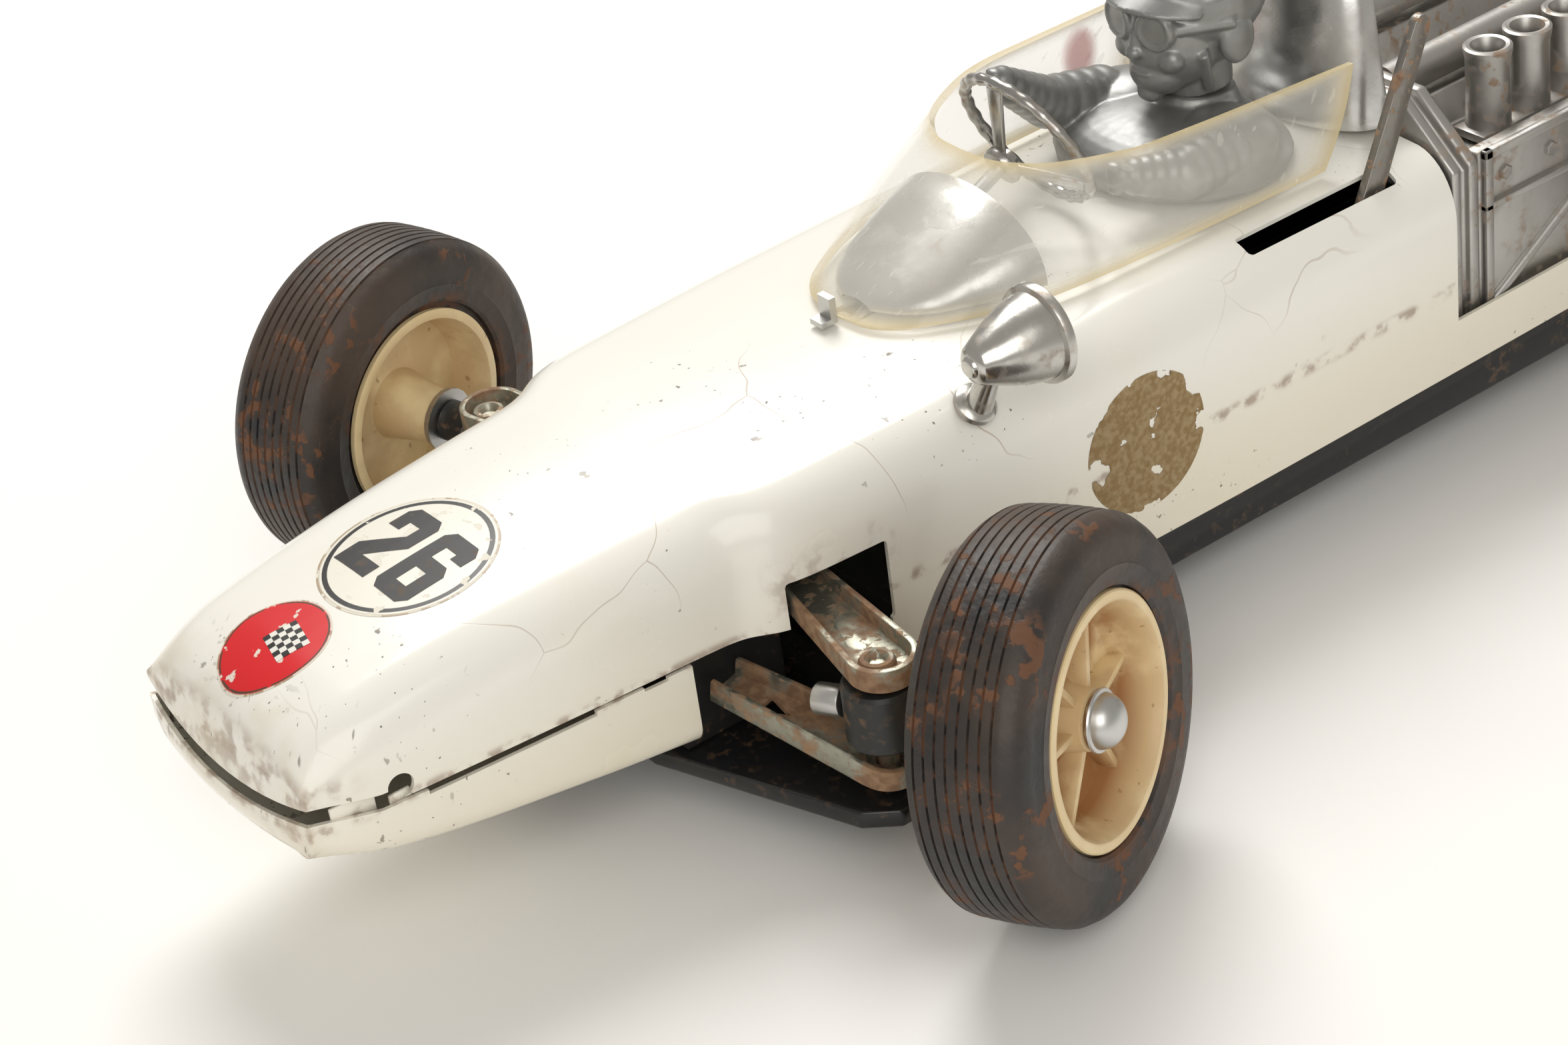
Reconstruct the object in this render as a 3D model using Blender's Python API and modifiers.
"""Tin friction race car with driver, steered front wheels and a flywheel motor on the rear axle.

Model frame in metres: +Z up, nose towards -Y, the car's left side towards +X, ground at z = 0.
Sizes below are millimetres, with y counted back from the front axle; at() turns them into the model frame.
"""

import math

import bmesh
import bpy
from mathutils import Matrix, Vector

MM = 0.001
LEFT, RIGHT = 1, -1
SIDES = {"left": LEFT, "right": RIGHT}

# Driving dimensions
FRONT_AXLE_TO_MIDDLE = 76.4
WHEELBASE = 166.0
FRONT_TYRE_RADIUS, FRONT_TYRE_WIDTH = 22.0, 14.0
REAR_TYRE_RADIUS, REAR_TYRE_WIDTH = 25.0, 22.0
REAR_TRACK = 120.0
SHEET = 0.5
GAP = 0.3

# Front suspension and steering, at rest on the left-hand lock
KINGPIN_X, KINGPIN_Y = 38.0, -2.0
AXLE_REACH, AXLE_TRAIL = 19.3, 2.0
LEFT_STEER, RIGHT_STEER = 24.4, 16.9
LEFT_CAMBER, RIGHT_CAMBER = 5.9, 1.9
STEERING_ARM = 8.0
TIE_ROD_Z = 19.4
COLUMN_RAKE = math.radians(25.0)
STEERING_WHEEL_CENTRE = (0.0, 54.6, 53.2)
COLUMN_FOOT_Y = 1.1

# Body: (y, half width, crown height, shoulder width, shoulder height)
NOSE_Y = -60.1
BODY_STATIONS = (
    (NOSE_Y, 17.2, 30.9, 5.5, 2.2),
    (-59.2, 17.3, 32.4, 6.5, 4.2),
    (-57.6, 17.5, 34.0, 7.0, 6.0),
    (-55.0, 17.9, 35.4, 7.0, 7.0),
    (-51.0, 18.3, 36.6, 7.0, 7.0),
    (-35.0, 19.6, 38.9, 7.0, 7.0),
    (-18.0, 20.8, 40.2, 7.0, 7.0),
    (-10.5, 21.3, 40.6, 7.0, 7.0),
    (-7.5, 21.9, 40.8, 6.6, 7.0),
    (-4.0, 23.8, 41.0, 6.2, 7.0),
    (-0.5, 24.7, 41.2, 6.3, 7.2),
    (8.0, 25.3, 41.5, 6.5, 7.5),
    (25.0, 26.2, 41.9, 6.8, 8.0),
    (60.0, 26.8, 42.4, 7.0, 8.5),
    (98.0, 26.5, 42.4, 7.0, 9.0),
    (150.0, 25.8, 42.4, 7.0, 9.0),
)
CROWN_DROP = 0.7
SEAM_Z = 24.3
SEAM_GAP = 0.5
NOTCH_Y, NOTCH_RADIUS = -49.7, 1.5
FRONT_SLOT = 1.5
FLAP_MIDDLE_Z, FLAP_LEAN = 25.3, 1.2
LIP_DROP, LIP_LEAN = 1.2, 2.0
SKIRT_Z = 12.5
BAY_REAR_Y = 9.4
COCKPIT_END_Y = 98.0
SKIRT_TOP_Z = 19.5

# Friction motor: modules and teeth
MODULE = 0.7
PRESSURE_ANGLE = math.radians(22.0)
AXLE_TEETH, IDLER_PINION_TEETH, IDLER_TEETH, FLYWHEEL_PINION_TEETH = 36, 12, 30, 12
REAR_AXLE_Z = REAR_TYRE_RADIUS
FIRST_MESH_ANGLE = math.radians(199.0)
SECOND_MESH_ANGLE = math.radians(174.0)

# Drive lever
LEVER_PIVOT = (22.0, 79.0, 20.0)
LEVER_LEAN = math.radians(25.0)

TRUMPETS_PER_BANK, TRUMPET_PITCH, FIRST_TRUMPET_Y, TRUMPET_X = 6, 7.0, 113.5, 17.2


def at(x, y, z):
    """Model-frame point for millimetres with y counted back from the front axle."""
    return Vector((x, y - FRONT_AXLE_TO_MIDDLE, z)) * MM


# ---------------------------------------------------------------- scene and materials


def clear_scene():
    for obj in list(bpy.data.objects):
        bpy.data.objects.remove(obj, do_unlink=True)


def new_collection(name, hidden=False):
    collection = bpy.data.collections.new(name)
    bpy.context.scene.collection.children.link(collection)
    collection.hide_render = hidden
    return collection


def new_material(name, colour, roughness, metallic=0.0, alpha=1.0):
    material = bpy.data.materials.new(name)
    material.use_nodes = True
    shader = material.node_tree.nodes["Principled BSDF"]
    shader.inputs["Base Color"].default_value = (*colour, 1.0)
    shader.inputs["Roughness"].default_value = roughness
    shader.inputs["Metallic"].default_value = metallic
    shader.inputs["Alpha"].default_value = alpha
    return material


clear_scene()
CAR = new_collection("tin_race_car")
CUTTERS = new_collection("cutters", hidden=True)
MATERIALS = {
    "enamel": new_material("cream_enamel", (0.88, 0.85, 0.76), 0.25),
    "black": new_material("black_enamel", (0.02, 0.02, 0.02), 0.3),
    "tyre": new_material("tyre_rubber", (0.04, 0.035, 0.03), 0.75),
    "ivory": new_material("ivory_plastic", (0.83, 0.70, 0.45), 0.4),
    "zinc": new_material("zinc_plate", (0.45, 0.46, 0.40), 0.45, 0.8),
    "steel": new_material("bright_steel", (0.6, 0.6, 0.6), 0.25, 1.0),
    "chrome": new_material("plated_plastic", (0.62, 0.60, 0.57), 0.22, 1.0),
    "figure": new_material("silver_figure", (0.28, 0.28, 0.27), 0.4, 0.6),
    "clear": new_material("clear_plastic", (0.93, 0.90, 0.80), 0.1, 0.0, 0.3),
    "brass": new_material("gear_brass", (0.65, 0.5, 0.22), 0.35, 1.0),
}


# ---------------------------------------------------------------- shape helpers


def mesh_object(name, bm):
    """Object holding this bmesh, whose faces are made to point outwards."""
    bmesh.ops.recalc_face_normals(bm, faces=bm.faces)
    mesh = bpy.data.meshes.new(name)
    bm.to_mesh(mesh)
    bm.free()
    obj = bpy.data.objects.new(name, mesh)
    CUTTERS.objects.link(obj)
    obj.hide_render = True
    obj.display_type = "WIRE"
    return obj


def box(low, high):
    """Axis-aligned box between two corners."""
    bm = bmesh.new()
    size = [high[k] - low[k] for k in range(3)]
    centre = at(*[(high[k] + low[k]) / 2 for k in range(3)])
    bmesh.ops.create_cube(bm, size=1.0)
    bmesh.ops.scale(bm, vec=Vector(size) * MM, verts=bm.verts)
    bmesh.ops.translate(bm, vec=centre, verts=bm.verts)
    return mesh_object("box", bm)


def rod(start, end, radius, end_radius=None, sides=20):
    """Cylinder or cone between two points in millimetres."""
    bm = bmesh.new()
    a, b = at(*start), at(*end)
    turn = (b - a).to_track_quat("Z", "Y").to_matrix().to_4x4()
    bmesh.ops.create_cone(
        bm,
        cap_ends=True,
        segments=sides,
        radius1=radius * MM,
        radius2=(radius if end_radius is None else end_radius) * MM,
        depth=(b - a).length,
        matrix=Matrix.Translation((a + b) / 2) @ turn,
    )
    return mesh_object("rod", bm)


def ball(centre, radii, segments=14, rings=9):
    bm = bmesh.new()
    bmesh.ops.create_uvsphere(bm, u_segments=segments, v_segments=rings, radius=1.0)
    bmesh.ops.scale(bm, vec=Vector(radii) * MM, verts=bm.verts)
    bmesh.ops.translate(bm, vec=at(*centre), verts=bm.verts)
    return mesh_object("ball", bm)


def turned(profile, frame, steps=28, closed=True):
    """Turned piece: (radius, height) profile swept round the frame's Z by a Screw modifier.

    The profile runs down its outer side, top to bottom. An open profile starts and ends on the axis.
    """
    mesh = bpy.data.meshes.new("turned")
    points = [(r * MM, 0.0, t * MM) for r, t in profile]
    edges = [(i, i + 1) for i in range(len(points) - 1)]
    if closed:
        edges.append((len(points) - 1, 0))
    mesh.from_pydata(points, edges, [])
    obj = bpy.data.objects.new("turned", mesh)
    CUTTERS.objects.link(obj)
    obj.hide_render = True
    obj.display_type = "WIRE"
    screw = obj.modifiers.new("turn", "SCREW")
    screw.axis = "Z"
    screw.angle = 2 * math.pi
    screw.steps = screw.render_steps = steps
    screw.use_merge_vertices = True
    screw.merge_threshold = 0.00001
    screw.use_normal_calculate = False
    obj.matrix_world = frame
    return obj


def plate(outline, thickness, frame):
    """Flat plate: a closed 2D outline in millimetres, centred on the frame's XY plane."""
    curve = bpy.data.curves.new("plate", "CURVE")
    curve.dimensions = "2D"
    curve.fill_mode = "BOTH"
    curve.extrude = thickness / 2 * MM
    spline = curve.splines.new("POLY")
    spline.points.add(len(outline) - 1)
    for point, (x, y) in zip(spline.points, outline):
        point.co = (x * MM, y * MM, 0.0, 1.0)
    spline.use_cyclic_u = True
    holder = bpy.data.objects.new("plate_outline", curve)
    CUTTERS.objects.link(holder)
    graph = bpy.context.evaluated_depsgraph_get()
    mesh = bpy.data.meshes.new_from_object(holder.evaluated_get(graph))
    bpy.data.objects.remove(holder, do_unlink=True)
    bm = bmesh.new()
    bm.from_mesh(mesh)
    bpy.data.meshes.remove(mesh)
    bmesh.ops.remove_doubles(bm, verts=bm.verts, dist=0.000001)
    bmesh.ops.transform(bm, matrix=frame, verts=bm.verts)
    return mesh_object("plate", bm)


def loft(rings, closed=False, capped=False):
    """Skin between rings of equal length; capped closes the first and last ring."""
    bm = bmesh.new()
    rows = [[bm.verts.new(at(*point)) for point in ring] for ring in rings]
    width = len(rows[0])
    spans = width if closed else width - 1
    for lower, upper in zip(rows, rows[1:]):
        for i in range(spans):
            j = (i + 1) % width
            bm.faces.new((lower[i], lower[j], upper[j], upper[i]))
    if capped:
        bm.faces.new(rows[0])
        bm.faces.new(rows[-1])
    return mesh_object("loft", bm)


def thicken(obj, thickness=SHEET, offset=-1.0):
    solidify = obj.modifiers.new("sheet", "SOLIDIFY")
    solidify.thickness = thickness * MM
    solidify.offset = offset
    solidify.use_even_offset = True
    return obj


def combine(obj, others, operation):
    for other in others:
        boolean = obj.modifiers.new(operation.lower(), "BOOLEAN")
        boolean.operation = operation
        boolean.solver = "EXACT"
        boolean.object = other


def piece(name, material, solids, cuts=(), axis=None):
    """Finished node: the first solid, the others joined to it, the cuts taken away.

    axis is the joint's parent empty, for a piece that moves.
    """
    obj = solids[0]
    combine(obj, solids[1:], "UNION")
    combine(obj, cuts, "DIFFERENCE")
    CUTTERS.objects.unlink(obj)
    CAR.objects.link(obj)
    obj.name = name
    obj.hide_render = False
    obj.display_type = "TEXTURED"
    obj.data.materials.append(MATERIALS[material])
    if axis is not None:
        obj.parent = axis
        obj.matrix_parent_inverse = axis.matrix_basis.inverted()
    return obj


def joint_axis(name, point, direction=(0, 0, 1)):
    """Parent empty whose Z runs along a joint's axis."""
    empty = bpy.data.objects.new(name, None)
    CAR.objects.link(empty)
    turn = Vector(direction).to_track_quat("Z", "Y").to_matrix().to_4x4()
    empty.matrix_basis = Matrix.Translation(at(*point)) @ turn
    return empty


def frame_at(point, direction):
    """Frame with its origin at a point in millimetres and its Z along a direction."""
    turn = Vector(direction).to_track_quat("Z", "Y").to_matrix().to_4x4()
    return Matrix.Translation(at(*point)) @ turn


def side_frame(x, y, z):
    """Frame whose XY plane is the car's YZ plane and whose Z is the car's X."""
    turn = Matrix(((0, 0, 1, 0), (1, 0, 0, 0), (0, 1, 0, 0), (0, 0, 0, 1)))
    return Matrix.Translation(at(x, y, z)) @ turn


def cross_frame(x, y, z):
    """Frame whose XY plane is the car's XZ plane."""
    turn = Matrix(((1, 0, 0, 0), (0, 0, -1, 0), (0, 1, 0, 0), (0, 0, 0, 1)))
    return Matrix.Translation(at(x, y, z)) @ turn


def smooth_through(stations, y):
    """Values between design stations, by a cubic through neighbouring slopes."""
    if y <= stations[0][0]:
        return stations[0][1:]
    if y >= stations[-1][0]:
        return stations[-1][1:]
    i = max(k for k in range(len(stations) - 1) if stations[k][0] <= y)
    a, b = stations[i], stations[i + 1]
    before = stations[max(i - 1, 0)]
    after = stations[min(i + 2, len(stations) - 1)]
    span = b[0] - a[0]
    t = (y - a[0]) / span
    values = []
    for k in range(1, len(a)):
        middle = (b[k] - a[k]) / span
        start = (b[k] - before[k]) / (b[0] - before[0]) if i > 0 else middle
        end = (after[k] - a[k]) / (after[0] - a[0]) if i + 2 < len(stations) else middle
        if start * middle <= 0:
            start = 0.0
        if end * middle <= 0:
            end = 0.0
        start = math.copysign(min(abs(start), 3 * abs(middle)), start)
        end = math.copysign(min(abs(end), 3 * abs(middle)), end)
        h00, h10 = 2 * t**3 - 3 * t**2 + 1, t**3 - 2 * t**2 + t
        h01, h11 = -2 * t**3 + 3 * t**2, t**3 - t**2
        values.append(h00 * a[k] + h10 * span * start + h01 * b[k] + h11 * span * end)
    return values


# ---------------------------------------------------------------- body


def body_half_section(y, skirt_z):
    """Half of a body section, from the skirt up over the shoulder to the crown."""
    half_width, crown, shoulder_width, shoulder_height = smooth_through(BODY_STATIONS, y)
    shoulder_top = crown - CROWN_DROP
    shoulder_foot = shoulder_top - shoulder_height
    points = []
    for k in range(4):
        points.append((half_width, y, skirt_z + (shoulder_foot - skirt_z) * k / 4))
    for k in range(6):
        angle = math.radians(18 * k)
        points.append(
            (
                half_width - shoulder_width * (1 - math.cos(angle)),
                y,
                shoulder_foot + shoulder_height * math.sin(angle),
            )
        )
    inner = half_width - shoulder_width
    for share in (0.66, 0.33, 0.0):
        points.append((inner * share, y, crown - CROWN_DROP * share**2))
    return points


def whole_section(half):
    """Left half section and its mirror image, as one row from left to right."""
    return half + [(-x, y, z) for x, y, z in reversed(half[:-1])]


def seam_z(y):
    """Height of the seam between the upper shell and the nose pan."""
    return SEAM_Z + max(0.0, -52.0 - y) * 0.22


def shell_edge_z(y):
    """Lower edge of the upper shell, which steps up in front of the notch and down behind the wheel bay."""
    if y > BAY_REAR_Y:
        return SKIRT_Z
    return seam_z(y) + (FRONT_SLOT if y < NOTCH_Y else 0.0)


def share_of_nose(x):
    """Square of the distance from the centre line, as a share of the nose's half width."""
    return (x / BODY_STATIONS[0][1]) ** 2


def flap_z(x):
    """Lower edge of the folded nose flap, lowest on the centre line."""
    return FLAP_MIDDLE_Z + (shell_edge_z(NOSE_Y) - FLAP_MIDDLE_Z) * share_of_nose(x)


def skin(band, bm):
    """Faces between neighbouring rows of vertices."""
    for lower, upper in zip(band, band[1:]):
        for i in range(len(lower) - 1):
            bm.faces.new((lower[i], lower[i + 1], upper[i + 1], upper[i]))


def nose_flap(bm, first_row):
    """Front of the upper shell, folded down from the nose crease and joined to its corners."""
    crease = first_row[4:-4]
    band = []
    for k in range(4):
        share = k / 4
        row = [first_row[k]]
        for corner in crease[1:-1]:
            point = corner.co / MM
            low = flap_z(point.x)
            lean = FLAP_LEAN * (1 - share) * (1 - share_of_nose(point.x))
            z = low + (point.z - low) * share
            row.append(bm.verts.new(Vector((point.x, point.y - lean, z)) * MM))
        row.append(first_row[-1 - k])
        band.append(row)
    band.append(crease)
    skin(band, bm)


def upper_body_shell():
    stations = (
        [NOSE_Y, -59.2, -57.6, -55, NOTCH_Y - 0.3, NOTCH_Y + 0.3, -42, -32, -22, -15]
        + [-10.5, -7.5, -4, -0.5, BAY_REAR_Y]
        + [BAY_REAR_Y + 0.2, 18, 30, 48, 72, 98, 150]
    )
    bm = bmesh.new()
    rows = []
    for y in stations:
        ring = whole_section(body_half_section(y, shell_edge_z(y)))
        rows.append([bm.verts.new(at(*p)) for p in ring])
    skin(rows, bm)
    nose_flap(bm, rows[0])
    shell = thicken(mesh_object("shell", bm))
    cuts = [
        box((-40, COCKPIT_END_Y, SKIRT_TOP_Z), (40, 160, 60)),
        box((-2.2, 25.4, 38), (2.2, 38.0, 46)),
        box((LEVER_PIVOT[0] - 1.4, 67.2, 35), (LEVER_PIVOT[0] + 1.4, 91.4, 48)),
    ]
    for side in SIDES.values():
        cuts.append(box(*sorted_box(side, (14, -3.2, 20), (40, BAY_REAR_Y + 0.5, 30.2))))
        notch = [(side * x, NOTCH_Y, SEAM_Z + NOTCH_RADIUS) for x in (10, 30)]
        cuts.append(rod(*notch, NOTCH_RADIUS, sides=16))
    return piece("upper_body_shell", "enamel", [shell], cuts)


def sorted_box(side, low, high):
    """Box corners given for the left side, moved to either side."""
    xs = sorted((side * low[0], side * high[0]))
    return (xs[0], low[1], low[2]), (xs[1], high[1], high[2])


PAN_FRONT_Y, PAN_REAR_Y, PAN_CORNER = NOSE_Y - 0.3, -14.4, 3.0
NOSE_PAN_BOTTOM = ((PAN_FRONT_Y, 20.4), (-50.0, 17.0), (-27.0, 14.0), (PAN_REAR_Y, 12.8))


def lip_z(x):
    """Upper edge of the pan's front lip, from below the flap's middle to the pan's own top at its corners."""
    corner_z = seam_z(PAN_FRONT_Y) - SEAM_GAP
    middle_z = FLAP_MIDDLE_Z - LIP_DROP
    return middle_z + (corner_z - middle_z) * share_of_nose(x)


def nose_pan():
    """Lower nose: a scoop whose front lip follows the flap above it."""
    bm = bmesh.new()
    rows = []
    for y in (PAN_FRONT_Y, -57.5, -52, -44, -35, -26, -18, PAN_REAR_Y):
        half_width = smooth_through(BODY_STATIONS, y)[0]
        bottom = smooth_through(NOSE_PAN_BOTTOM, y)[0]
        top = seam_z(y) - SEAM_GAP
        foot_z = bottom + PAN_CORNER
        half = [(half_width, y, top + (foot_z - top) * k / 3) for k in range(3)]
        for k in range(5):
            angle = math.radians(22.5 * k)
            x = half_width - PAN_CORNER * (1 - math.cos(angle))
            half.append((x, y, bottom + PAN_CORNER * (1 - math.sin(angle))))
        half += [((half_width - PAN_CORNER) * share, y, bottom) for share in (0.6, 0.3, 0)]
        rows.append([bm.verts.new(at(*p)) for p in whole_section(half)])
    skin(rows, bm)
    foot = rows[0][3:-3]
    band = []
    for k in range(3):
        row = [rows[0][k]]
        for corner in foot[1:-1]:
            point = corner.co / MM
            rise = (lip_z(point.x) - point.z) * (1 - k / 3)
            lean = LIP_LEAN * (1 - share_of_nose(point.x)) * math.sin(math.radians(60 + 30 * k))
            row.append(bm.verts.new(Vector((point.x, point.y - lean, point.z + rise)) * MM))
        row.append(rows[0][-1 - k])
        band.append(row)
    band.append(foot)
    skin(band, bm)
    piece("nose_pan", "enamel", [thicken(mesh_object("pan", bm))])


def chassis():
    """Black lower pan with the front plate that carries the kingpins."""
    pan = box((-24.4, 9.8, 5.5), (24.4, 178.0, 12.1))
    half = [(13, -16.5), (39, -7.5), (42, -4), (42, 1), (38, 5), (26, 12), (20, 16)]
    outline = half + [(-x, y) for x, y in reversed(half)]
    front = plate([(x, y - FRONT_AXLE_TO_MIDDLE) for x, y in outline], 2.2, Matrix.Translation((0, 0, 8.4 * MM)))
    nose_beam = box((-9, -30, 8.0), (9, -14.5, 12.0))
    hollow = box((-23.6, 18, 6.3), (23.6, 177.2, 14))
    piece("chassis_pan", "black", [pan, front, nose_beam], [hollow])
    block = box((-16.4, -14, 9.8), (16.4, 0.2, 26.4))
    lugs = [box(*sorted_box(side, (8, 0, 23.6), (16.4, 6.0, 28.4))) for side in SIDES.values()]
    piece("suspension_block", "black", [block, *lugs])


# ---------------------------------------------------------------- wheels


def front_wheel_layout(side):
    """(centre, outward direction, steer angle) of a front wheel at rest."""
    steer = math.radians(LEFT_STEER if side == LEFT else RIGHT_STEER)
    camber = math.radians(LEFT_CAMBER if side == LEFT else RIGHT_CAMBER)
    turn = Matrix.Rotation(steer, 3, "Z")
    offset = turn @ Vector((side * AXLE_REACH, AXLE_TRAIL, 0))
    outward = turn @ Vector((side * math.cos(camber), 0, math.sin(camber)))
    height = FRONT_TYRE_RADIUS * math.cos(camber) + 0.38 * FRONT_TYRE_WIDTH * math.sin(camber)
    centre = (side * KINGPIN_X + offset.x, KINGPIN_Y + offset.y, height)
    return centre, outward, steer


def tyre_profile(radius, width, bore):
    half = width / 2
    bead = half - 1.4
    outer = [
        (bore + 1.3, half - 0.6),
        (bore + 3.4, half),
        (radius * 0.9, half - 0.1),
        (radius * 0.971, half - 0.9),
        (radius, half - 2.0),
    ]
    seat = [(bore + 1.3, -bead), (bore, -bead), (bore, bead), (bore + 1.3, bead)]
    return outer + [(r, -t) for r, t in reversed(outer)] + seat


def hub_profile(rim, width, bore, boss_reach, disc):
    """Dished wheel from the outer boss round the rim to the inner boss."""
    half = width / 2
    return [
        (bore, disc + 3.8),
        (3.2, disc + 3.8),
        (3.9, disc + 0.8),
        (rim - 2.6, disc),
        (rim - 1.5, half - 1.8),
        (rim - 0.9, half - 0.3),
        (rim + 0.1, half - 0.3),
        (rim + 0.1, half - 1.1),
        (rim - 1.2, half - 1.1),
        (rim - 1.2, -half + 1.1),
        (rim - 0.5, -half + 1.1),
        (rim - 0.5, -half + 0.4),
        (rim - 1.7, -half + 0.4),
        (rim - 2.8, disc - 2.2),
        (4.6, disc - 2.2),
        (3.1, -boss_reach),
        (bore, -boss_reach),
    ]


def hub_ribs(frame, rim, disc, count=6):
    ribs = []
    for k in range(count):
        bm = bmesh.new()
        bmesh.ops.create_cube(bm, size=1.0)
        bmesh.ops.scale(bm, vec=Vector((rim - 5.5, 1.0, 2.6)) * MM, verts=bm.verts)
        bmesh.ops.translate(bm, vec=Vector(((rim + 1.5) / 2, 0, disc + 1.0)) * MM, verts=bm.verts)
        turn = Matrix.Rotation(2 * math.pi * k / count, 4, "Z")
        bmesh.ops.transform(bm, matrix=frame @ turn, verts=bm.verts)
        ribs.append(mesh_object("rib", bm))
    return ribs


def cap_profile(foot):
    """Domed push-on cap, solid, standing on the axle's end."""
    dome = [(3.1 * math.sin(math.radians(a)), foot + 0.6 + 2.4 * math.cos(math.radians(a))) for a in (0, 25, 50, 75, 90)]
    return dome + [(3.5, foot + 0.6), (3.5, foot), (0, foot)]


def front_wheel(name, side):
    centre, outward, _ = front_wheel_layout(side)
    frame = frame_at(centre, outward)
    spin = joint_axis(f"front_{name}_spin_axis", centre, outward)
    disc, boss_reach = 1.0, 9.2
    piece(
        f"front_tyre_{name}",
        "tyre",
        [turned(tyre_profile(FRONT_TYRE_RADIUS, FRONT_TYRE_WIDTH, 12.9), frame)],
        axis=spin,
    )
    hub = turned(hub_profile(13.8, FRONT_TYRE_WIDTH, 1.4, boss_reach, disc), frame, 24)
    piece(f"front_hub_{name}", "ivory", [hub, *hub_ribs(frame, 13.8, disc)], axis=spin)
    piece(f"front_cap_{name}", "steel", [turned(cap_profile(disc + 4.1), frame, 20, False)], axis=spin)
    washer = [(4.0, -boss_reach - GAP), (4.0, -boss_reach - 1.0), (1.5, -boss_reach - 1.0), (1.5, -boss_reach - GAP)]
    piece(f"front_washer_{name}", "steel", [turned(washer, frame, 20)], axis=spin)


def knuckle(name, side):
    """Steered knuckle with its stub axle, and the kingpin that it turns on."""
    centre, outward, steer = front_wheel_layout(side)
    pin = (side * KINGPIN_X, KINGPIN_Y)
    turn = joint_axis(f"steer_{name}_axis", (*pin, 0))
    body = rod((*pin, 16.6), (*pin, 24.0), 4.3)
    along = Vector(outward)
    hub_end = Vector(centre) - along * 10.5
    root = Vector(centre) - along * 17.5
    boss = rod(root, hub_end, 2.6, sides=16)
    back = (-math.sin(steer) * STEERING_ARM, math.cos(steer) * STEERING_ARM)
    track_pin = (pin[0] + back[0], pin[1] + back[1])
    arm_bar = rod((*pin, 21.2), (*track_pin, 21.2), 1.0, sides=8)
    arm_end = rod((*track_pin, 20.2), (*track_pin, 22.2), 1.9, sides=12)
    arm_pin = rod((*track_pin, 18.2), (*track_pin, 20.6), 0.9, sides=12)
    holes = [rod((*pin, 10), (*pin, 30), 1.5, sides=16), rod(Vector(centre) - along * 13.5, centre, 1.55, sides=16)]
    piece(f"knuckle_{name}", "black", [body, boss, arm_bar, arm_end, arm_pin], holes, turn)
    axle = rod(Vector(centre) - along * 13.2, Vector(centre) + along * 4.6, 1.2, sides=16)
    piece(f"stub_axle_{name}", "steel", [axle], axis=turn)
    inward = Matrix.Rotation(steer, 3, "Z") @ Vector((-side, 0, 0))
    bush_start = Vector((*pin, 20.4)) + inward * 4.7
    piece(f"knuckle_bush_{name}", "steel", [rod(bush_start, bush_start + inward * 3.4, 1.8, sides=16)], axis=turn)
    profile = [(0, 26.9), (2.1, 26.7), (2.1, 25.9), (1.2, 25.9), (1.2, 11.5), (2.1, 11.5), (2.1, 10.7), (0, 10.5)]
    piece(f"kingpin_{name}", "steel", [turned(profile, frame_at((*pin, 0), (0, 0, 1)), 16, False)])


def channel_arm(name, inner, outer, pin, root, radius, floor):
    """Pressed U-channel arm with a rounded outer end and a hole for the kingpin."""
    a, b = Vector(inner), Vector(outer)
    length = (b - a).length
    heading = (b - a).normalized()
    across = Vector((0, 0, 1)).cross(heading).normalized()
    up = heading.cross(across)
    frame = Matrix((
        (*[heading.x, across.x, up.x], 0), (*[heading.y, across.y, up.y], 0),
        (*[heading.z, across.z, up.z], 0), (0, 0, 0, 1),
    ))
    frame = Matrix.Translation(at(*a)) @ frame

    def outline(inset, start):
        turns = [math.radians(-90 + 22.5 * k) for k in range(9)]
        reach = radius - inset
        arc = [(length + reach * math.cos(t), reach * math.sin(t)) for t in turns]
        return [(start, inset - root), *arc, (start, root - inset)]

    height = 2.8
    lift = Matrix.Translation((0, 0, height / 2 * MM))
    solid = plate(outline(0, 0), height, frame @ lift)
    hollow_lift = Matrix.Translation((0, 0, (floor + height / 2) * MM))
    hollow = plate(outline(0.8, -2), height, frame @ hollow_lift)
    hole = rod((*pin, 5), (*pin, 35), 1.5, sides=16)
    piece(name, "zinc", [solid], [hollow, hole])


def suspension_arms(name, side):
    pin = (side * KINGPIN_X, KINGPIN_Y)
    upper = (side * 17.4, 1.7, 25.3), (side * 38, -1.4, 24.6)
    lower = (side * 17.8, -9.0, 16.5), (side * 38, -2.6, 12.4)
    channel_arm(f"upper_arm_{name}", *upper, pin, 2.7, 4.0, 0.8)
    channel_arm(f"lower_arm_{name}", *lower, pin, 2.7, 3.8, 0.8)


def tie_rod():
    """Flat bar behind the kingpins, slotted for the two knuckle pins and the column crank."""
    axis = joint_axis("tie_rod_axis", (0, 5.6, TIE_ROD_Z), (1, 0, 0))
    left, right = math.radians(LEFT_STEER), math.radians(RIGHT_STEER)
    pins = (KINGPIN_X - STEERING_ARM * math.sin(left), -KINGPIN_X - STEERING_ARM * math.sin(right))
    middle = (pins[0] + pins[1]) / 2
    low, high = pins[1] - 2.6, pins[0] + 2.6
    bar = box((low, 3.0, TIE_ROD_Z - 0.5), (high, 8.4, TIE_ROD_Z + 0.5))
    slots = [box((x - 1.25, 3.9, 15), (x + 1.25, 7.3, 25)) for x in pins]
    slots.append(box((middle - 1.6, 4.0, 15), (middle + 1.6, 7.6, 25)))
    piece("tie_rod", "zinc", [bar], slots, axis)
    return middle


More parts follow.
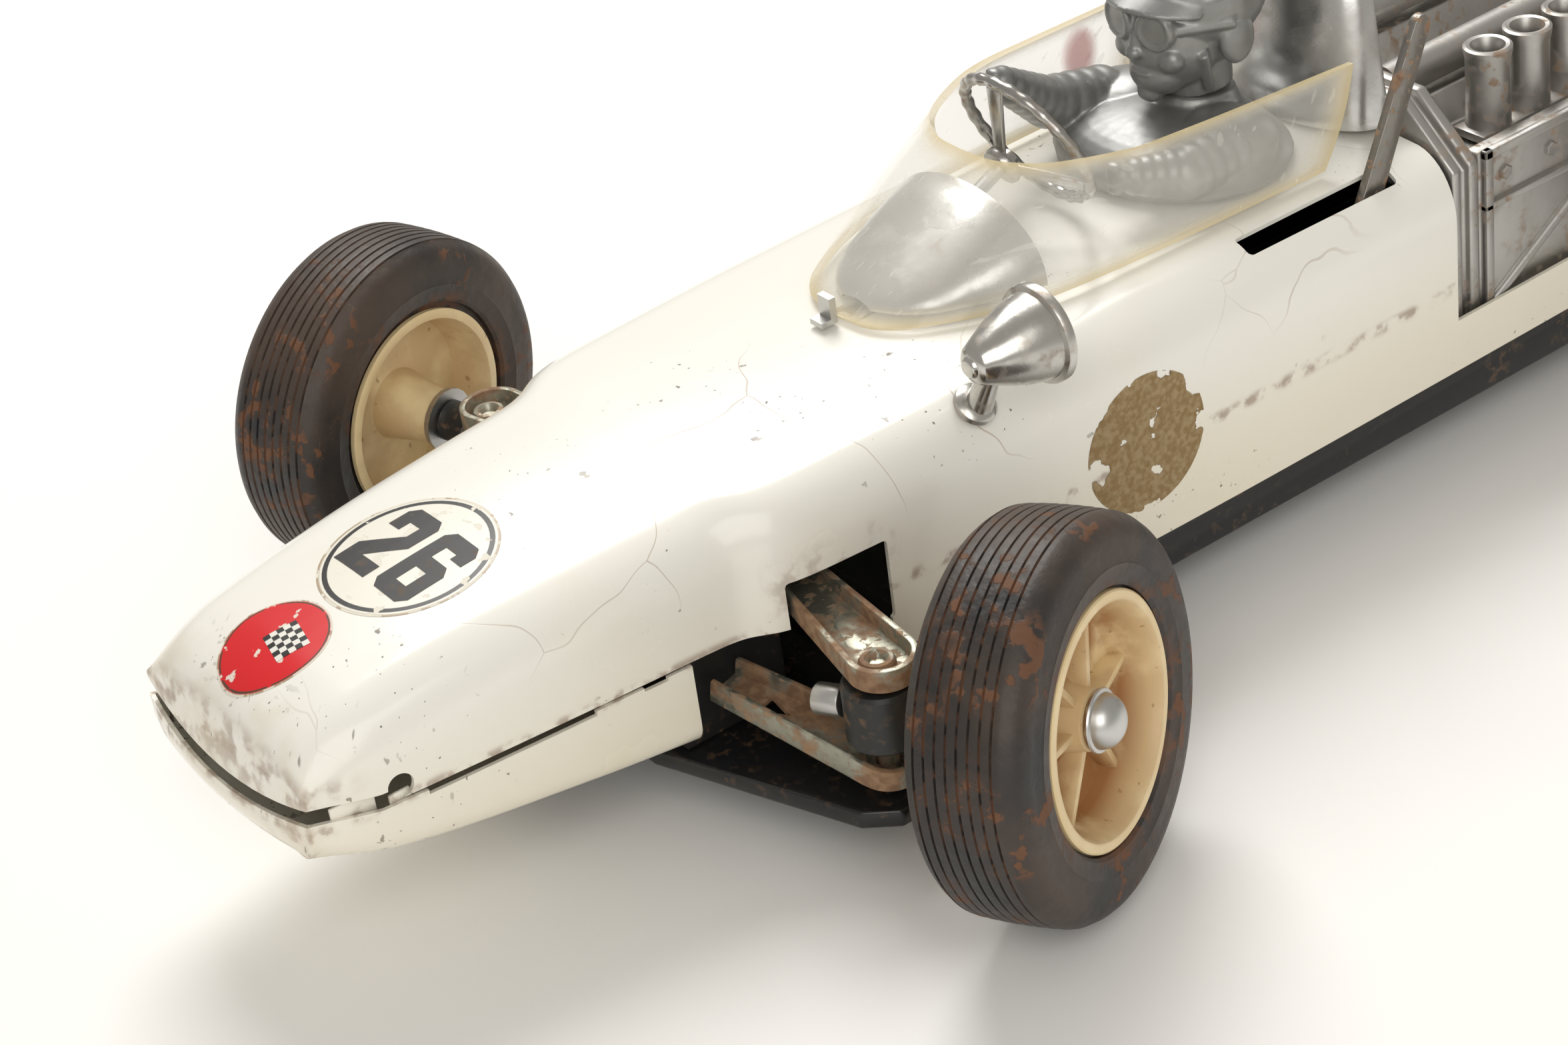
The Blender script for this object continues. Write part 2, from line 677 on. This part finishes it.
def steering(crank_x):
    """Steering wheel and raked column, whose crank moves the tie rod."""
    centre = Vector(STEERING_WHEEL_CENTRE)
    along = Vector((0, math.cos(COLUMN_RAKE), math.sin(COLUMN_RAKE)))
    down = Vector((0, math.sin(COLUMN_RAKE), -math.cos(COLUMN_RAKE)))
    axis = joint_axis("steering_column_axis", centre, along)
    frame = frame_at(centre, along)
    tube, rim_radius, dish = 0.8, 9.6, 4.0
    circle = [
        (rim_radius + tube * math.cos(a), tube * math.sin(a))
        for a in [-2 * math.pi * k / 8 for k in range(8)]
    ]
    rim = turned(circle, frame, 28)
    hub = turned([(0, -dish + 1.2), (2.4, -dish + 1.2), (2.4, -dish - 0.8), (0, -dish - 0.8)], frame, 16, False)
    spokes = []
    for k in range(3):
        bm = bmesh.new()
        bmesh.ops.create_cube(bm, size=1.0)
        bmesh.ops.scale(bm, vec=Vector((9.4, 1.8, 0.7)) * MM, verts=bm.verts)
        tilt = Matrix.Rotation(-math.atan2(dish, 8.6), 4, "Y")
        place = Matrix.Translation(Vector((5.5, 0, -dish / 2)) * MM)
        turn = Matrix.Rotation(math.radians(90 + 120 * k), 4, "Z")
        bmesh.ops.transform(bm, matrix=frame @ turn @ place @ tilt, verts=bm.verts)
        spokes.append(mesh_object("spoke", bm))
    piece("steering_wheel", "chrome", [rim, hub, *spokes], axis=axis)
    start = centre - along * (dish + 0.8 + GAP)
    foot = centre - along * (centre.y - COLUMN_FOOT_Y) / math.cos(COLUMN_RAKE)
    shaft = rod(start, foot - along * 0.9, 0.9, sides=12)
    reach = (foot.z - TIE_ROD_Z) / math.cos(COLUMN_RAKE)
    crank_way = Matrix.Rotation(-math.asin(crank_x / reach), 3, along) @ down
    crank = rod(foot, foot + crank_way * (reach + 1.2), 0.9, sides=12)
    piece("steering_column", "steel", [shaft, crank], axis=axis)


def rear_wheels():
    """Rear axle with its gear, hubs, tyres and caps, which all turn together."""
    axle_point = (0, WHEELBASE, REAR_AXLE_Z)
    spin = joint_axis("rear_axle_spin_axis", axle_point, (1, 0, 0))
    reach = REAR_TRACK / 2 + 5.6
    piece("rear_axle", "steel", [rod((-reach, *axle_point[1:]), (reach, *axle_point[1:]), 1.5, sides=16)], axis=spin)
    for name, side in SIDES.items():
        frame = frame_at((side * REAR_TRACK / 2, *axle_point[1:]), (side, 0, 0))
        tyre = turned(tyre_profile(REAR_TYRE_RADIUS, REAR_TYRE_WIDTH, 14.7), frame)
        piece(f"rear_tyre_{name}", "tyre", [tyre], axis=spin)
        hub = turned(hub_profile(15.6, REAR_TYRE_WIDTH, 1.8, 13.0, 2.0), frame, 24)
        piece(f"rear_hub_{name}", "ivory", [hub, *hub_ribs(frame, 15.6, 2.0)], axis=spin)
        piece(f"rear_cap_{name}", "steel", [turned(cap_profile(6.1), frame, 20, False)], axis=spin)
        sleeve = [(3.0, -15.0), (3.0, -42.8), (1.9, -42.8), (1.9, -15.0)]
        piece(f"rear_axle_tube_{name}", "chrome", [turned(sleeve, frame, 16)])
    return spin


# ---------------------------------------------------------------- friction motor


def gear_outline(teeth, phase):
    """Involute gear outline with a little backlash; a tooth is centred on the phase angle."""
    pitch = teeth * MODULE / 2
    base = pitch * math.cos(PRESSURE_ANGLE)
    tip, root = pitch + 0.9 * MODULE, pitch - 1.2 * MODULE
    involute = math.tan(PRESSURE_ANGLE) - PRESSURE_ANGLE
    half_tooth = math.pi / (2 * teeth) - 0.12 * MODULE / pitch

    def half_angle(radius):
        angle = math.acos(min(1.0, base / radius))
        return half_tooth + involute - (math.tan(angle) - angle)

    start = max(root, base)
    radii = [start, (start + 2 * tip) / 3, tip]
    points = []
    for k in range(teeth):
        middle = phase + 2 * math.pi * k / teeth
        flank = [(root, half_angle(start))] if root < start - 0.02 else []
        flank += [(r, half_angle(r)) for r in radii]
        points += [(r, middle - a) for r, a in flank]
        points += [(r, middle + a) for r, a in reversed(flank)]
    return [(r * math.cos(a), r * math.sin(a)) for r, a in points]


def gear(centre, low_x, high_x, teeth, phase):
    frame = side_frame((low_x + high_x) / 2, *centre)
    return plate(gear_outline(teeth, phase), high_x - low_x, frame)


def friction_motor(spin):
    """Axle gear, compound idler and flywheel between two side plates."""
    axle = (WHEELBASE, REAR_AXLE_Z)
    first = MODULE * (AXLE_TEETH + IDLER_PINION_TEETH) / 2
    idler = (axle[0] + first * math.cos(FIRST_MESH_ANGLE), axle[1] + first * math.sin(FIRST_MESH_ANGLE))
    second = MODULE * (IDLER_TEETH + FLYWHEEL_PINION_TEETH) / 2
    flywheel = (
        idler[0] + second * math.cos(SECOND_MESH_ANGLE),
        idler[1] + second * math.sin(SECOND_MESH_ANGLE),
    )
    axle_gear = gear(axle, 3.0, 6.0, AXLE_TEETH, FIRST_MESH_ANGLE)
    bore = rod((0, *axle), (10, *axle), 1.8, sides=16)
    piece("axle_gear", "brass", [axle_gear], [bore], spin)
    idler_axis = joint_axis("idler_spin_axis", (0, *idler), (1, 0, 0))
    pinion_phase = FIRST_MESH_ANGLE + math.pi + math.pi / IDLER_PINION_TEETH
    parts = [
        gear(idler, -1.5, 1.5, IDLER_TEETH, SECOND_MESH_ANGLE),
        gear(idler, 1.2, 6.5, IDLER_PINION_TEETH, pinion_phase),
        rod((-14.6, *idler), (14.6, *idler), 1.2, sides=16),
    ]
    piece("idler_gear", "brass", parts, axis=idler_axis)
    flywheel_axis = joint_axis("flywheel_spin_axis", (0, *flywheel), (1, 0, 0))
    pinion_phase = SECOND_MESH_ANGLE + math.pi + math.pi / FLYWHEEL_PINION_TEETH
    parts = [
        rod((-10, *flywheel), (-3.5, *flywheel), 9.0, sides=32),
        gear(flywheel, -3.8, 2.0, FLYWHEEL_PINION_TEETH, pinion_phase),
        rod((-14.6, *flywheel), (14.6, *flywheel), 1.2, sides=16),
    ]
    piece("flywheel", "steel", parts, axis=flywheel_axis)
    floor = box((-13.9, 122, 6.6), (13.9, 176, 7.4))
    walls = [box(*sorted_box(side, (12.9, 122, 6.8), (13.9, 176, 30.6))) for side in SIDES.values()]
    holes = [rod((-20, *axle), (20, *axle), 1.8, sides=16)]
    holes += [rod((-20, *point), (20, *point), 1.45, sides=16) for point in (idler, flywheel)]
    piece("motor_frame", "steel", [floor, *walls], holes)


# ---------------------------------------------------------------- engine


def engine():
    """Plated engine: front frame, block with trumpet trays, trumpets, gearbox cover and exhausts."""
    half = [(25.2, 14.0), (25.2, 38.9), (16.6, 46.4)]
    outline = half + [(-x, z) for x, z in reversed(half)]

    def ring(y, inset):
        return [(x - math.copysign(inset, x), y, z - (inset if z > 30 else 0)) for x, z in outline]

    rings = [ring(98.8, 0), ring(100.3, 0), ring(100.4, 0.9), ring(101.6, 0.9), ring(101.7, 0), ring(103.3, 0)]
    opening = box((-20, 95, 8), (20, 110, 34))
    piece("engine_front_frame", "chrome", [loft(rings, True, True)], [opening])
    half = [(24.8, 17), (24.8, 39.6), (22.6, 39.6), (22.2, 36.2), (12.2, 36.2), (10.5, 40.6), (6.6, 40.6), (4.8, 36.5)]
    inner = [(22.6, 31.4), (22.6, 17)]
    outline = half + [(-x, z) for x, z in reversed(half)]
    outline += [(-x, z) for x, z in reversed(inner)] + inner
    middle = (103.6 + 152.4) / 2
    block = plate(outline, 152.4 - 103.6, cross_frame(0, middle, 0))
    piece("engine_block", "chrome", [block])
    for name, side in SIDES.items():
        x = side * TRUMPET_X
        ys = [FIRST_TRUMPET_Y + TRUMPET_PITCH * k for k in range(TRUMPETS_PER_BANK)]
        rail = box((x - 2.6, ys[0] - 3.6, 36.5), (x + 2.6, ys[-1] + 3.4, 37.7))
        tubes = [rod((x, y, 37.0), (x, y, 48.3), 3.05, sides=16) for y in ys]
        bores = [rod((x, y, 41.0), (x, y, 50.0), 1.7, sides=12) for y in ys]
        piece(f"intake_bank_{name}", "chrome", [rail, *tubes], bores)
        pipe = rod((side * 8.6, 104.4, 43.6), (side * 8.6, 190, 44.2), 2.4, sides=16)
        cone = rod((side * 8.6, 188, 44.2), (side * 8.6, 215.4, 44.4), 2.6, 4.6, sides=20)
        mouth = rod((side * 8.6, 193, 44.2), (side * 8.6, 216.4, 44.4), 1.6, 4.0, sides=20)
        piece(f"exhaust_pipe_{name}", "chrome", [pipe, cone], [mouth])
    cover = box((-16.6, 152.8, 13.5), (16.6, 184, 40.6))
    hollow = box((-14.8, 140, 6), (14.8, 181.8, 39.0))
    axle_way = rod((-20, WHEELBASE, REAR_AXLE_Z), (20, WHEELBASE, REAR_AXLE_Z), 3.4, sides=20)
    tail = rod((0, 182, 27), (0, 194, 27), 8.0, 5.0, sides=20)
    piece("gearbox_cover", "chrome", [cover, tail], [hollow, axle_way])


def headrest():
    """Silver fairing behind the driver's head."""
    rows = []
    for z, half_width, front, back in (
        (42.9, 15.6, 90.5, 98.3),
        (47.0, 14.8, 91.0, 98.4),
        (53.0, 13.4, 92.2, 98.9),
        (60.0, 11.4, 93.8, 99.6),
        (65.5, 8.6, 95.6, 100.2),
        (68.0, 5.0, 97.4, 100.3),
    ):
        depth = back - front
        arc = [math.radians(18 * k) for k in range(11)]
        row = [(half_width * math.cos(a), back - depth * math.sin(a) ** 0.8, z) for a in arc]
        rows.append(row)
    piece("headrest_fairing", "chrome", [loft(rows, True, True)])


# ---------------------------------------------------------------- cockpit


FITTINGS_Z = 42.8
SCREEN_BOW, SCREEN_THICKNESS = 0.5, 1.0
SCREEN_BASE = ((0, 24.2), (5, 25), (8.8, 27.6), (11.8, 31.8), (14.8, 38.2), (16.5, 45.5), (17.5, 60), (18.2, 84.6))
SCREEN_RIM = ((0, 44.7), (4.6, 45.1), (8.4, 47), (11.3, 49.8), (14.4, 55.4), (16.2, 61), (17, 70), (18, 90))
SCREEN_RIM_Z = (55.8, 55.8, 55.8, 55.8, 55.8, 55.7, 55.4, 54.8)


def windscreen():
    """Wrap-round screen between its base line on the deck and its rim."""
    rows = []
    for share in (0.0, 0.25, 0.5, 0.75, 1.0):
        half = []
        for (bx, by), (rx, ry), rz in zip(SCREEN_BASE, SCREEN_RIM, SCREEN_RIM_Z):
            bow = SCREEN_BOW * math.sin(math.pi * share)
            out = Vector((bx, by - 60)).normalized() * bow
            z = FITTINGS_Z + (rz - FITTINGS_Z) * share
            half.append((bx + (rx - bx) * share + out.x, by + (ry - by) * share + out.y, z))
        rows.append([(-x, y, z) for x, y, z in reversed(half[1:])] + half)
    piece("windscreen", "clear", [thicken(loft(rows), SCREEN_THICKNESS)])
    clip_rear_y = SCREEN_BASE[0][1] - GAP
    clip = box((-1.1, clip_rear_y - 0.9, 42.6), (1.1, clip_rear_y, 45.6))
    foot = box((-1.1, clip_rear_y - 2.3, 42.3), (1.1, clip_rear_y, 43.0))
    piece("windscreen_clip", "steel", [clip, foot])


COWL_STATIONS = ((27.4, 2.6, 43.6), (29, 5.8, 44.5), (32, 8.8, 46), (37, 11.3, 48.4), (41.5, 12.9, 50.4), (44.8, 13.7, 51.6))
COWL_THICKNESS = 0.6


def dash_cowl():
    """Half-cone fairing over the column, open towards the driver."""
    rows = []
    for y, half_width, top in COWL_STATIONS:
        arc = [math.radians(15 * k) for k in range(13)]
        rise = top - FITTINGS_Z
        rows.append([(half_width * math.cos(a), y, FITTINGS_Z + rise * math.sin(a) ** 0.9) for a in arc])
    piece("dash_cowl", "chrome", [thicken(loft(rows), COWL_THICKNESS)])


def driver():
    """Half figure in racing overalls with helmet; it stands on the deck."""
    rows = []
    for z, half_width, front, back in (
        (42.9, 16.0, 62.5, 88.0),
        (45.0, 15.8, 63.5, 88.4),
        (47.4, 14.2, 66.0, 88.0),
        (49.0, 10.6, 70.5, 87.0),
        (50.2, 5.4, 75.0, 85.0),
    ):
        middle, half_length = (front + back) / 2, (back - front) / 2
        row = []
        for k in range(20):
            a = 2 * math.pi * k / 20
            x = half_width * math.copysign(abs(math.cos(a)) ** 0.8, math.cos(a))
            y = middle + half_length * math.copysign(abs(math.sin(a)) ** 0.9, math.sin(a))
            row.append((x, y, z))
        rows.append(row)
    torso = loft(rows, True, True)
    arms = []
    limbs = (
        ((-10.8, 76.0, 47.0), (-11.0, 67.0, 49.6), (-9.2, 59.2, 55.6)),
        ((11.0, 76.0, 47.0), (11.4, 68.5, 46.8), (8.8, 61.8, 48.2)),
    )
    for shoulder, elbow, wrist in limbs:
        hand = Vector(wrist) + Vector((0, -0.6, 0.5))
        arms.append(rod(shoulder, elbow, 3.9, 3.2, sides=12))
        arms.append(ball(elbow, (3.2, 3.2, 3.2), 12, 8))
        arms.append(rod(elbow, wrist, 3.1, 2.1, sides=12))
        arms.append(ball(hand, (2.1, 2.3, 2.5), 12, 8))
    piece("driver_torso", "figure", [torso, *arms])
    neck = rod((0, 81.0, 50.6), (0, 80.8, 57.0), 4.6, sides=16)
    face = ball((0, 77.4, 58.6), (6.4, 6.6, 7.6), 16, 10)
    skull = ball((0, 81.6, 62.4), (8.7, 9.6, 9.3), 20, 12)
    peak = rod((0, 76.6, 64.6), (0, 76.2, 65.6), 7.6, 7.4, sides=20)
    nose = rod((0, 70.4, 58.0), (0, 73.6, 61.6), 1.1, 0.7, sides=8)
    piece("driver_head", "figure", [neck, face, skull, peak, nose])


def mirror():
    """Bullet mirror on its stalk, on the left shoulder only."""
    bullet = [
        (0, 0.0), (1.2, 0.0), (2.0, -0.6), (3.6, -3.2), (4.9, -6.6), (5.4, -9.8),
        (5.9, -9.9), (5.9, -10.9), (5.1, -10.9), (5.1, -10.2), (0, -10.2),
    ]
    tip = (27.6, 21.6, 47.4)
    stalk = rod((24.6, 25.0, 40.3), (26.6, 25.6, 45.4), 1.5, 1.1, sides=12)
    foot = rod((23.9, 24.9, 39.9), (24.9, 25.1, 41.0), 2.4, 1.9, sides=12)
    shape = turned(bullet, frame_at(tip, (0, -1, 0)), 24, False)
    piece("mirror_housing", "chrome", [shape, stalk, foot])
    face = [(0, -10.5), (4.7, -10.5), (4.7, -10.9), (0, -10.9)]
    piece("mirror_glass", "steel", [turned(face, frame_at(tip, (0, -1, 0)), 20, False)])


def drive_lever():
    """Flat lever standing through its slot, on a pivot bracket inside the body."""
    axis = joint_axis("drive_lever_axis", LEVER_PIVOT, (1, 0, 0))
    length, foot_half, top_half = 42.4, 1.9, 1.35
    top = [
        (top_half * math.sin(a), length + top_half * math.cos(a))
        for a in [math.radians(-90 + 30 * k) for k in range(7)]
    ]
    eye = [
        (3.0 * math.cos(a), 3.0 * math.sin(a)) for a in [math.radians(-30 - 30 * k) for k in range(5)]
    ]
    outline = top + [(foot_half, 6.0)] + eye + [(-foot_half, 6.0)]
    lean = Matrix.Rotation(-LEVER_LEAN, 4, "Z")
    bar = plate(outline, 1.2, side_frame(*LEVER_PIVOT) @ lean)
    x, y, z = LEVER_PIVOT
    hole = rod((x - 5, y, z), (x + 5, y, z), 1.5, sides=16)
    piece("drive_lever", "zinc", [bar], [hole], axis)
    web = box((x - 3.4, y - 4, 6.6), (x - 2.4, y + 4, z + 3))
    foot = box((x - 8.0, y - 4, 6.6), (x - 2.6, y + 4, 7.6))
    pin = rod((x - 3.0, y, z), (x + 2.4, y, z), 1.2, sides=16)
    piece("lever_bracket", "steel", [web, foot, pin])


def build_car():
    upper_body_shell()
    nose_pan()
    chassis()
    for name, side in SIDES.items():
        front_wheel(name, side)
        knuckle(name, side)
        suspension_arms(name, side)
    steering(tie_rod())
    friction_motor(rear_wheels())
    engine()
    headrest()
    windscreen()
    dash_cowl()
    driver()
    mirror()
    drive_lever()


build_car()
